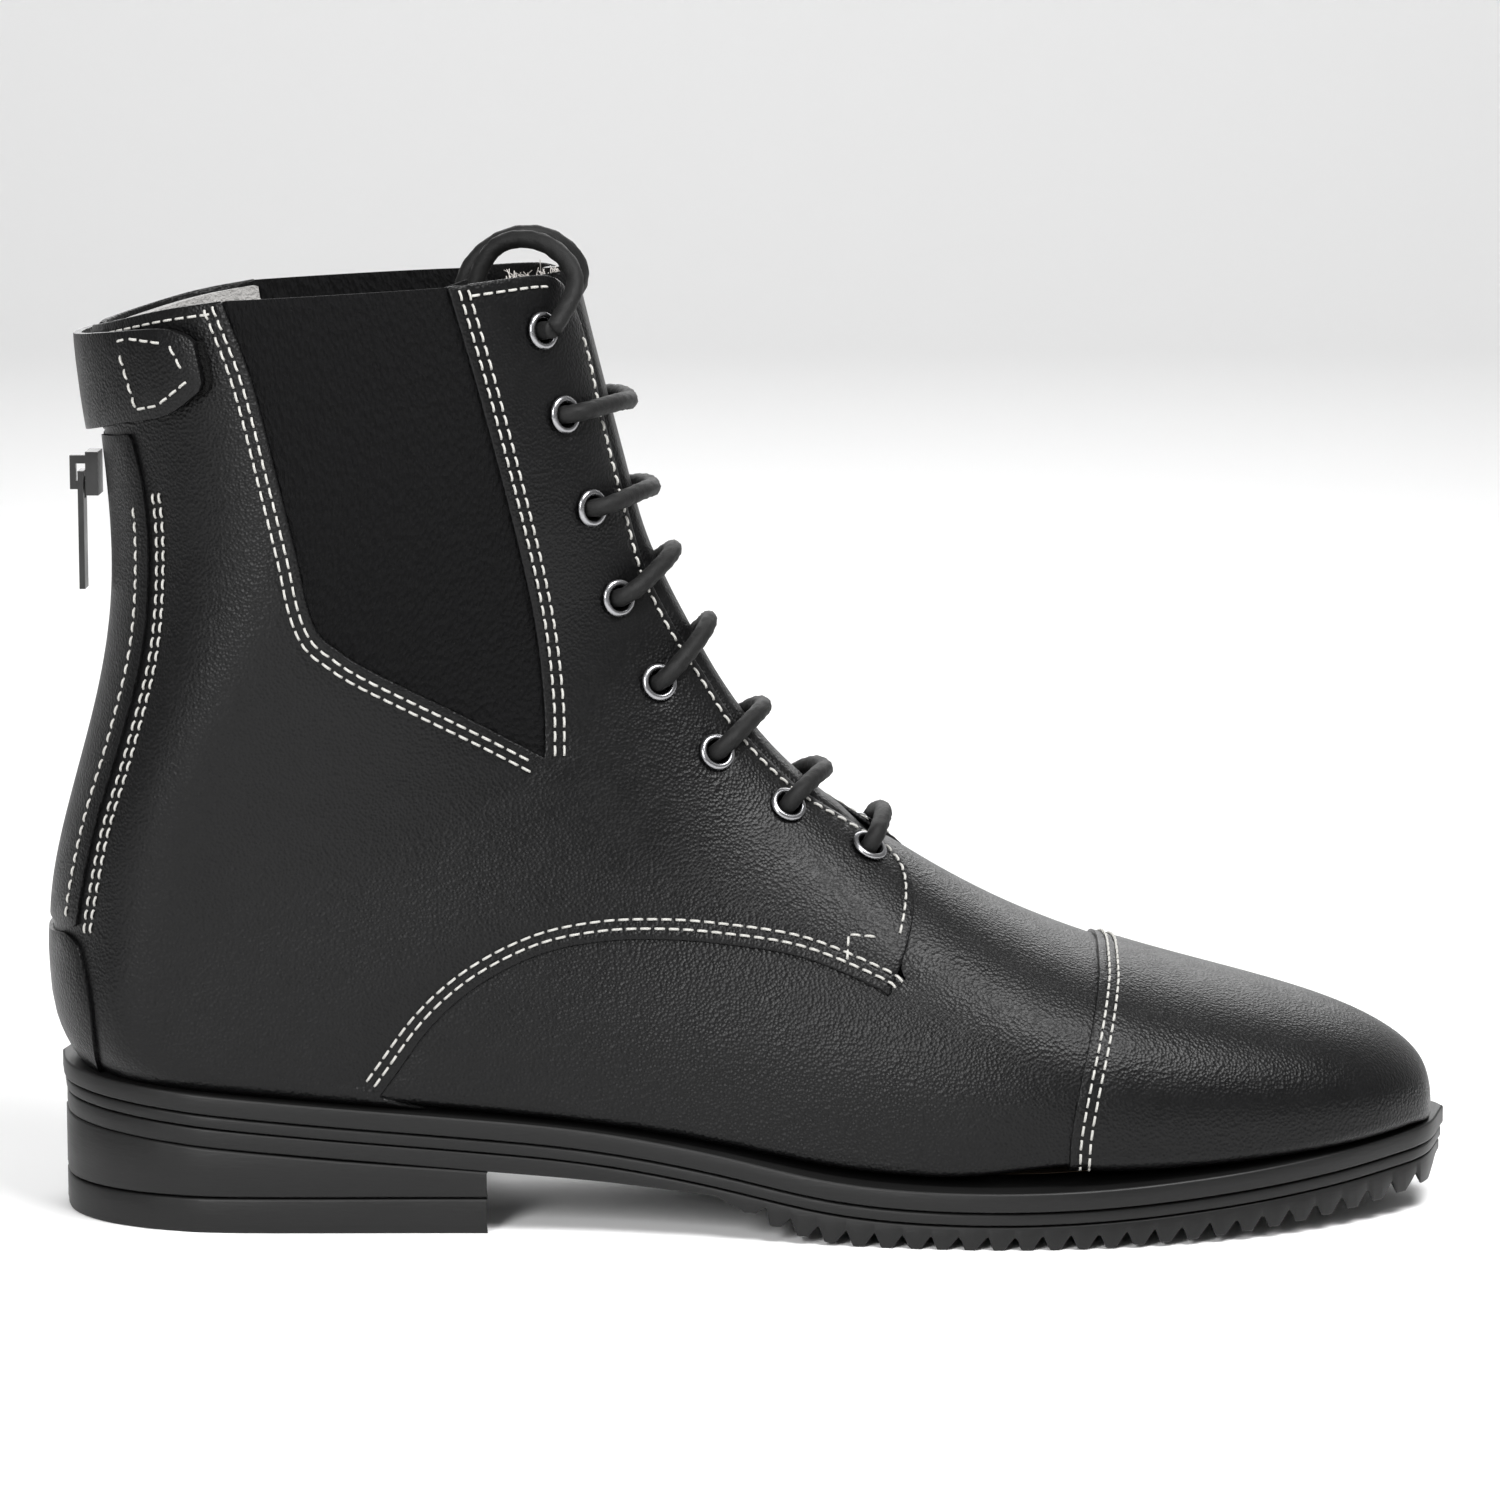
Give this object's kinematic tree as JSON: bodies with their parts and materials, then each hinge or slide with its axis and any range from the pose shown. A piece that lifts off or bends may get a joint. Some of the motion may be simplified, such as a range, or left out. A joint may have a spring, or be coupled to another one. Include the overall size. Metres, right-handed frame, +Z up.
{
  "type": "lace-up paddock riding boot",
  "caption": "Ankle-high right riding boot in black leather with laced front, elastic side gussets, rear zip under a closure strap, fur lining and a low heel.",
  "frame": {"origin": "centre of the heel's ground face", "axes": "+X to the toe, +Y to the inner (medial) side of this right boot, +Z up"},
  "size_m": [0.2922, 0.0959, 0.2034],
  "materials": {
    "leather": "black grained full-grain leather, semi-gloss",
    "elastic": "black ribbed elastic webbing",
    "lining": "grey felt and fleece lining",
    "fur": "grey-beige fur pile",
    "board": "fibre board",
    "zip_tape": "black woven tape",
    "zip_teeth": "black coil",
    "zip_metal": "black lacquered metal",
    "hook_and_loop": "black hook-and-loop",
    "sole_rubber": "black moulded rubber, satin",
    "welt": "black welt strip, satin",
    "cork": "ground cork",
    "steel": "spring steel",
    "eyelet_metal": "dark nickel",
    "lace": "black round braided cord",
    "aglet": "black"
  },
  "bodies": {
    "boot": {"quarter_lateral": "leather", "quarter_medial": "leather", "vamp": "leather", "toe_cap": "leather", "tongue": "leather", "counter_cover": "leather", "zip_guard_lateral": "leather", "zip_guard_medial": "leather", "strap_anchor": "leather", "elastic_gusset_lateral": "elastic", "elastic_gusset_medial": "elastic", "quarter_lining_lateral": "lining", "quarter_lining_medial": "lining", "vamp_lining": "lining", "tongue_lining": "fur", "footbed": "fur", "heel_counter": "board", "toe_puff": "board", "insole_board": "board", "zip_tape_lateral": "zip_tape", "zip_tape_medial": "zip_tape", "zip_teeth_lateral": "zip_teeth", "zip_teeth_medial": "zip_teeth", "loop_patch": "hook_and_loop", "outsole": "sole_rubber", "heel_block": "sole_rubber", "heel_top_lift": "sole_rubber", "midsole": "sole_rubber", "welt": "welt", "cork_filler": "cork", "shank": "steel", "eyelet_lateral_1": "eyelet_metal", "eyelet_lateral_2": "eyelet_metal", "eyelet_lateral_3": "eyelet_metal", "eyelet_lateral_4": "eyelet_metal", "eyelet_lateral_5": "eyelet_metal", "eyelet_lateral_6": "eyelet_metal", "eyelet_lateral_7": "eyelet_metal", "eyelet_lateral_8": "eyelet_metal", "eyelet_medial_1": "eyelet_metal", "eyelet_medial_2": "eyelet_metal", "eyelet_medial_3": "eyelet_metal", "eyelet_medial_4": "eyelet_metal", "eyelet_medial_5": "eyelet_metal", "eyelet_medial_6": "eyelet_metal", "eyelet_medial_7": "eyelet_metal", "eyelet_medial_8": "eyelet_metal", "lace": "lace", "lace_end_lateral": "lace", "lace_end_medial": "lace", "aglet_lateral": "aglet", "aglet_medial": "aglet"},
    "slider": {"zip_slider": "zip_metal"},
    "pull": {"zip_pull": "zip_metal"},
    "strap": {"closure_strap": "leather", "hook_patch": "hook_and_loop"}
  },
  "joints": [
    {"name": "zip_slide", "type": "hinge", "parent": "boot", "child": "slider", "pos_m": [-0.269, 0, 0.145], "axis": [0, 1, 0], "range_deg": [0, 19]},
    {"name": "pull_swing", "type": "hinge", "parent": "slider", "child": "pull", "pos_m": [-0.0266, 0, 0.1528], "axis": [0, 1, 0], "range_deg": [0, 130]},
    {"name": "strap_open", "type": "hinge", "parent": "boot", "child": "strap", "pos_m": [-0.006, 0.0365, 0.175], "axis": [0, 0, -1], "range_deg": [0, 100]}
  ]
}
